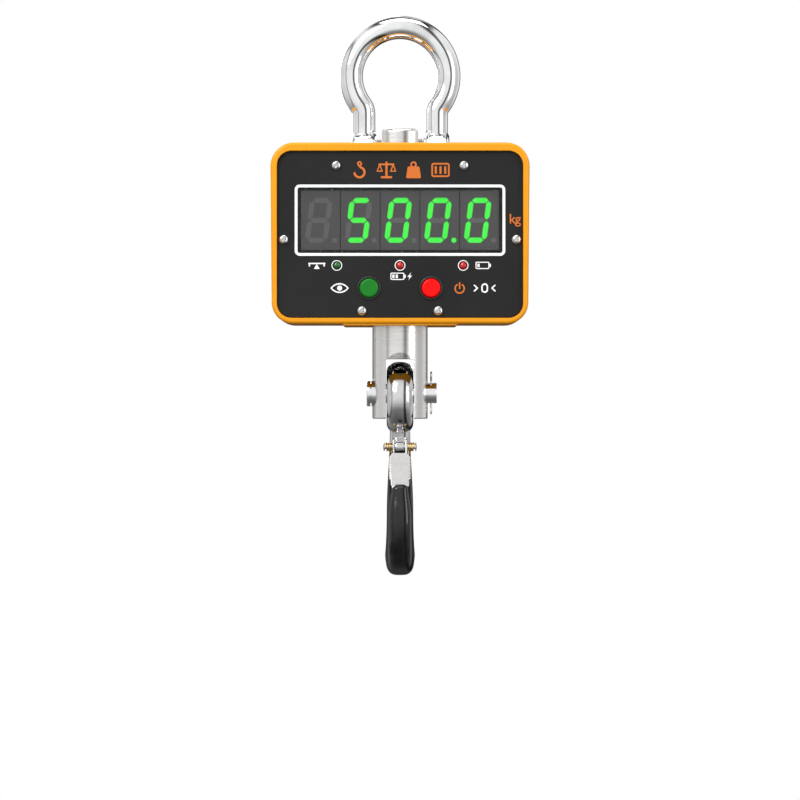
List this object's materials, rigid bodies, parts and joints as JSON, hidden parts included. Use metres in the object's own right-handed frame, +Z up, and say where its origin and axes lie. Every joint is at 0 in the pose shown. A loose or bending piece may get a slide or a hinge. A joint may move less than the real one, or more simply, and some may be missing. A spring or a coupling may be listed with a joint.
{
  "type": "crane scale",
  "caption": "Hanging electronic scale: a bow shackle and load-cell bar through a flat box housing with a digital display and push buttons, over an eye hook with a sprung safety latch.",
  "frame": {"origin": "where the crane's hook bears, on the inside of the shackle bow's crown", "axes": "+Z up along the hanging line, +X to the right along the pins, and the display faces -Y"},
  "size_m": [0.1761, 0.088, 0.385],
  "materials": {
    "chrome": "mirror polished",
    "bright_steel": "bright zinc",
    "satin_steel": "satin, finely polished along its length",
    "hook_black": "gloss black below, polished at the eye",
    "spring_brass": "yellow zinc",
    "orange_shell": "gloss",
    "black_rubber": "matt",
    "charcoal_panel": "fine matt texture with a white printed frame",
    "smoked_window": "clear, gloss",
    "digit_grey": "satin face with seven-segment bars",
    "board_green": "solder mask",
    "green_plastic": "gloss",
    "red_plastic": "gloss",
    "black_plastic": "satin",
    "battery_wrap": "shrink wrap"
  },
  "bodies": {
    "shackle": {"shackle_bow": "chrome", "shackle_pin": "bright_steel", "shackle_nut": "bright_steel", "shackle_cotter": "satin_steel", "spacer_left": "satin_steel", "spacer_right": "satin_steel"},
    "scale": {"load_cell": "satin_steel", "gauge_cover_front": "satin_steel", "gauge_cover_rear": "satin_steel", "clevis_pin": "chrome", "clevis_cotter": "satin_steel", "front_shell": "orange_shell", "rear_shell": "orange_shell", "gasket_left": "black_rubber", "gasket_right": "black_rubber", "shell_bolt_1": "bright_steel", "shell_bolt_2": "bright_steel", "shell_bolt_3": "bright_steel", "shell_bolt_4": "bright_steel", "cell_collar": "satin_steel", "collar_bolt_front": "bright_steel", "collar_bolt_rear": "bright_steel", "seal_upper": "black_rubber", "seal_lower": "black_rubber", "front_panel": "charcoal_panel", "panel_screw_1": "bright_steel", "panel_screw_2": "bright_steel", "panel_screw_3": "bright_steel", "panel_screw_4": "bright_steel", "panel_screw_5": "bright_steel", "panel_screw_6": "bright_steel", "display_window": "smoked_window", "display_board": "board_green", "digit_1": "digit_grey", "digit_2": "digit_grey", "digit_3": "digit_grey", "digit_4": "digit_grey", "digit_5": "digit_grey", "lamp_stable": "green_plastic", "lamp_charge": "red_plastic", "lamp_low": "red_plastic", "bezel_view": "black_plastic", "bezel_power": "black_plastic", "switch_view": "black_plastic", "switch_power": "black_plastic", "main_board": "board_green", "sensor_cable": "black_rubber", "battery_pack": "battery_wrap", "door_hinge_pin": "bright_steel", "charge_socket": "black_plastic"},
    "hook": {"hook": "hook_black", "latch_rivet": "bright_steel", "latch_spring_left": "spring_brass", "latch_spring_right": "spring_brass"},
    "latch": {"safety_latch": "satin_steel"},
    "view_button": {"button_view": "green_plastic"},
    "power_button": {"button_power": "red_plastic"},
    "battery_door": {"battery_door": "orange_shell"},
    "thumbscrew": {"door_thumbscrew": "bright_steel"}
  },
  "joints": [
    {"name": "shackle_swing", "type": "hinge", "parent": "shackle", "child": "scale", "pos_m": [0, 0, -0.0851], "axis": [1, 0, 0], "range_deg": [-45, 45]},
    {"name": "hook_swing", "type": "hinge", "parent": "scale", "child": "hook", "pos_m": [0, 0, -0.2436], "axis": [1, 0, 0], "range_deg": [-55, 55]},
    {"name": "latch_open", "type": "hinge", "parent": "hook", "child": "latch", "pos_m": [0, -0.011, -0.2805], "axis": [1, 0, 0], "range_deg": [0, 45], "stiffness_Nm_per_rad": 0.02, "springref_deg": -40.11},
    {"name": "view_press", "type": "slide", "parent": "scale", "child": "view_button", "axis": [0, 1, 0], "range_m": [0, 0.0015], "stiffness_N_per_m": 800, "springref_m": -0.001},
    {"name": "power_press", "type": "slide", "parent": "scale", "child": "power_button", "axis": [0, 1, 0], "range_m": [0, 0.0015], "stiffness_N_per_m": 800, "springref_m": -0.001},
    {"name": "battery_door_open", "type": "hinge", "parent": "scale", "child": "battery_door", "pos_m": [-0.056, 0.0416, -0.151], "axis": [0, 0, 1], "range_deg": [0, 90]},
    {"name": "thumbscrew_turn", "type": "hinge", "parent": "battery_door", "child": "thumbscrew", "pos_m": [0.0525, 0.0442, -0.151], "axis": [0, 1, 0], "continuous": true}
  ]
}
